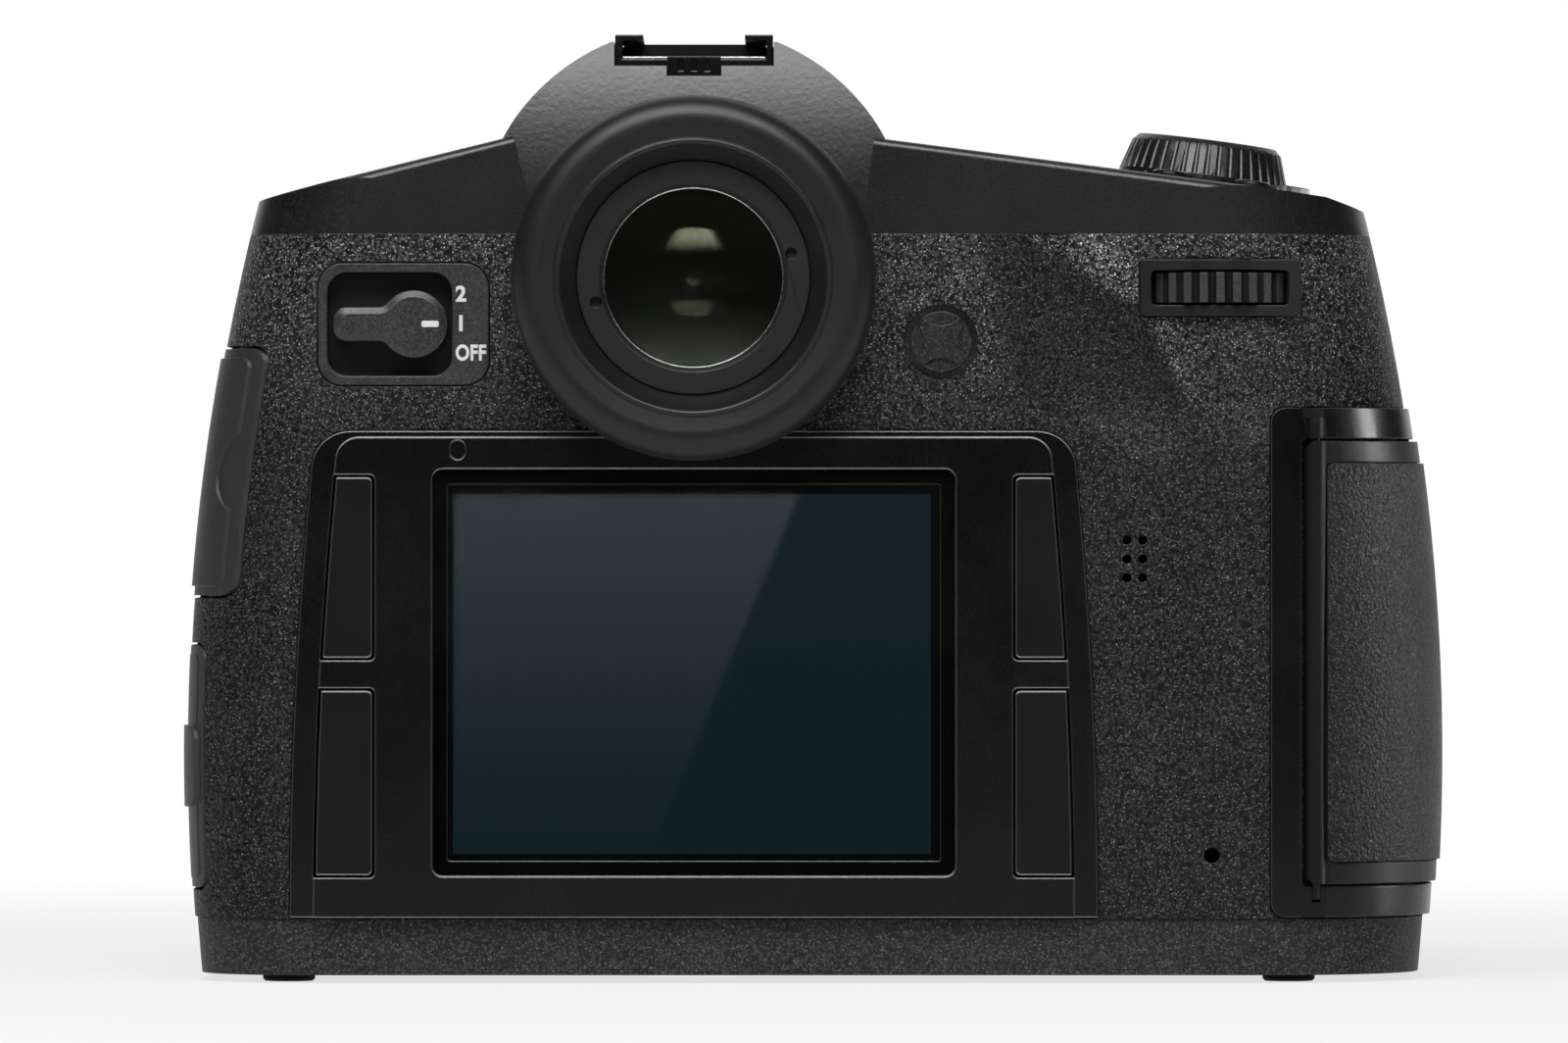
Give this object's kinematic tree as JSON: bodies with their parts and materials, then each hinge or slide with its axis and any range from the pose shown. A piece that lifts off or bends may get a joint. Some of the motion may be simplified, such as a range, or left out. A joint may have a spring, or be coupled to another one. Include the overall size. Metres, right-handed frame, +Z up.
{
  "type": "medium format digital camera",
  "caption": "Single-lens reflex camera body with a round eyecup, rear display with side buttons, thumbwheel, mode lever, speed dial, hot shoe, card door and bayonet lens mount.",
  "frame": {"origin": "mouth of the tripod socket in the underside of the base plate, straight below the lens axis", "axes": "+X to the right seen from behind (grip side), +Y towards the lens, +Z up"},
  "size_m": [0.1622, 0.0836, 0.1211],
  "materials": {
    "grained_shell": "fine pebble grain, black",
    "satin_cover": "satin black paint",
    "black_plastic": "satin black",
    "gloss_black": "gloss black",
    "rubber": "matt black",
    "display_cover": "polished",
    "clear_glass": "polished, coated",
    "display_layer": "dark slate, unlit",
    "steel": "ground",
    "black_steel": "black oxide",
    "mirror_glass": "silvered",
    "board": "solder mask",
    "sensor": "cover glass over silicon",
    "matt_black": "flocked matt black",
    "brass": "gilt contacts"
  },
  "bodies": {
    "camera": {"front_housing": "grained_shell", "rear_housing": "grained_shell", "top_cover": "satin_cover", "base_plate": "grained_shell", "base_feet": "rubber", "tripod_bush": "steel", "grip_skin": "rubber", "display_frame": "black_plastic", "display_glass": "display_cover", "display_panel": "display_layer", "light_sensor": "gloss_black", "mode_plate": "black_plastic", "thumbwheel_frame": "satin_cover", "eyepiece_barrel": "satin_cover", "hot_shoe_rail": "black_steel", "hot_shoe_spring": "steel", "hot_shoe_contacts": "black_plastic", "top_display": "gloss_black", "card_door_frame": "black_plastic", "card_sockets": "black_plastic", "port_sockets": "black_plastic", "speaker": "steel", "lens_mount_ring": "steel", "screws": "steel", "lens_contacts": "brass", "strap_lugs": "steel", "mirror_box": "matt_black", "focusing_screen": "clear_glass", "pentaprism": "clear_glass", "shutter_frame": "matt_black", "image_sensor": "sensor", "main_board": "board", "battery_chamber": "black_plastic"},
    "mode_lever": {"mode_lever": "black_plastic"},
    "eyepiece": {"eyecup": "rubber", "eyepiece_ring": "satin_cover", "eyepiece_lens": "clear_glass"},
    "joystick_carrier": {"joystick_carrier": "black_plastic"},
    "joystick_gimbal": {"joystick_gimbal": "steel"},
    "joystick_cap": {"joystick_cap": "rubber"},
    "thumbwheel_axle": {"thumbwheel_axle": "steel"},
    "thumbwheel": {"thumbwheel": "rubber"},
    "speed_dial": {"speed_dial": "satin_cover"},
    "top_button_left": {"top_button_left": "black_plastic"},
    "top_button_right": {"top_button_right": "black_plastic"},
    "shutter_button": {"shutter_button": "steel"},
    "button_upper_left": {"button_upper_left": "black_plastic"},
    "button_lower_left": {"button_lower_left": "black_plastic"},
    "button_upper_right": {"button_upper_right": "black_plastic"},
    "button_lower_right": {"button_lower_right": "black_plastic"},
    "card_door": {"card_door": "black_plastic", "card_door_pad": "rubber"},
    "upper_port_flap": {"upper_port_flap": "rubber"},
    "lower_port_flap": {"lower_port_flap": "rubber"},
    "lens_release": {"lens_release": "black_plastic"},
    "reflex_mirror": {"reflex_mirror": "mirror_glass"},
    "shutter_blade_upper": {"shutter_blade_upper": "black_steel"},
    "shutter_blade_lower": {"shutter_blade_lower": "black_steel"},
    "battery": {"battery": "black_plastic"},
    "battery_latch": {"battery_latch": "black_plastic"}
  },
  "joints": [
    {"name": "mode_lever_turn", "type": "hinge", "parent": "camera", "child": "mode_lever", "pos_m": [-0.0357, -0.021, 0.08305], "axis": [0, 1, 0], "range_deg": [-20, 20]},
    {"name": "dioptre_turn", "type": "hinge", "parent": "camera", "child": "eyepiece", "pos_m": [0, -0.026, 0.0888], "axis": [0, 1, 0], "range_deg": [-60, 60]},
    {"name": "joystick_press", "type": "slide", "parent": "camera", "child": "joystick_carrier", "axis": [0, 1, 0], "range_m": [0, 0.0004], "stiffness_N_per_m": 600},
    {"name": "joystick_tilt_vertical", "type": "hinge", "parent": "joystick_carrier", "child": "joystick_gimbal", "pos_m": [0.0315, -0.017, 0.0808], "axis": [1, 0, 0], "range_deg": [-4, 4], "stiffness_Nm_per_rad": 0.03},
    {"name": "joystick_tilt_sideways", "type": "hinge", "parent": "joystick_gimbal", "child": "joystick_cap", "pos_m": [0.0315, -0.017, 0.0808], "axis": [0, 0, 1], "range_deg": [-4, 4], "stiffness_Nm_per_rad": 0.03},
    {"name": "thumbwheel_press", "type": "slide", "parent": "camera", "child": "thumbwheel_axle", "axis": [0, 1, 0], "range_m": [0, 0.0005], "stiffness_N_per_m": 600},
    {"name": "thumbwheel_spin", "type": "hinge", "parent": "thumbwheel_axle", "child": "thumbwheel", "pos_m": [0.0671, -0.0154, 0.0877], "axis": [0, 0, 1], "continuous": true},
    {"name": "speed_dial_turn", "type": "hinge", "parent": "camera", "child": "speed_dial", "pos_m": [0.0657, 0.003, 0.10139], "axis": [0.1271, 0, 0.9919], "continuous": true},
    {"name": "top_button_left_press", "type": "slide", "parent": "camera", "child": "top_button_left", "axis": [-0.1271, 0, -0.9919], "range_m": [0, 0.0005], "stiffness_N_per_m": 600},
    {"name": "top_button_right_press", "type": "slide", "parent": "camera", "child": "top_button_right", "axis": [-0.1271, 0, -0.9919], "range_m": [0, 0.0005], "stiffness_N_per_m": 600},
    {"name": "shutter_button_press", "type": "slide", "parent": "camera", "child": "shutter_button", "axis": [-0.1271, 0, -0.9919], "range_m": [0, 0.0012], "stiffness_N_per_m": 700},
    {"name": "button_upper_left_press", "type": "slide", "parent": "camera", "child": "button_upper_left", "axis": [0, 1, 0], "range_m": [0, 0.0005], "stiffness_N_per_m": 600},
    {"name": "button_lower_left_press", "type": "slide", "parent": "camera", "child": "button_lower_left", "axis": [0, 1, 0], "range_m": [0, 0.0005], "stiffness_N_per_m": 600},
    {"name": "button_upper_right_press", "type": "slide", "parent": "camera", "child": "button_upper_right", "axis": [0, 1, 0], "range_m": [0, 0.0005], "stiffness_N_per_m": 600},
    {"name": "button_lower_right_press", "type": "slide", "parent": "camera", "child": "button_lower_right", "axis": [0, 1, 0], "range_m": [0, 0.0005], "stiffness_N_per_m": 600},
    {"name": "card_door_swing", "type": "hinge", "parent": "camera", "child": "card_door", "pos_m": [0.0793, -0.02365, 0.04], "axis": [0, 0, -1], "range_deg": [0, 105]},
    {"name": "upper_flap_swing", "type": "hinge", "parent": "camera", "child": "upper_port_flap", "pos_m": [-0.06155, 0.0038, 0.0642], "axis": [-0.1275, 0, -0.9918], "range_deg": [0, 95], "stiffness_Nm_per_rad": 0.004},
    {"name": "lower_flap_swing", "type": "hinge", "parent": "camera", "child": "lower_port_flap", "pos_m": [-0.06388, 0.0038, 0.0265], "axis": [0.0053, 0, -1], "range_deg": [0, 95], "stiffness_Nm_per_rad": 0.004},
    {"name": "lens_release_press", "type": "slide", "parent": "camera", "child": "lens_release", "axis": [0, -1, 0], "range_m": [0, 0.002], "stiffness_N_per_m": 600},
    {"name": "mirror_flip", "type": "hinge", "parent": "camera", "child": "reflex_mirror", "pos_m": [0, 0.0006, 0.064], "axis": [1, 0, 0], "range_deg": [0, 45], "stiffness_Nm_per_rad": 0.05},
    {"name": "shutter_upper_slide", "type": "slide", "parent": "camera", "child": "shutter_blade_upper", "axis": [0, 0, -1], "range_m": [0, 0.033]},
    {"name": "shutter_lower_slide", "type": "slide", "parent": "camera", "child": "shutter_blade_lower", "axis": [0, 0, -1], "range_m": [0, 0.0166]},
    {"name": "battery_slide", "type": "slide", "parent": "camera", "child": "battery", "axis": [0, 0, -1], "range_m": [0, 0.06]},
    {"name": "battery_latch_turn", "type": "hinge", "parent": "camera", "child": "battery_latch", "pos_m": [0.067, 0.0038, 0.002], "axis": [0, 0, 1], "range_deg": [0, 60]}
  ],
  "couplings": [
    {"joint": "shutter_lower_slide", "follows": "shutter_upper_slide", "ratio": 0.50303}
  ]
}
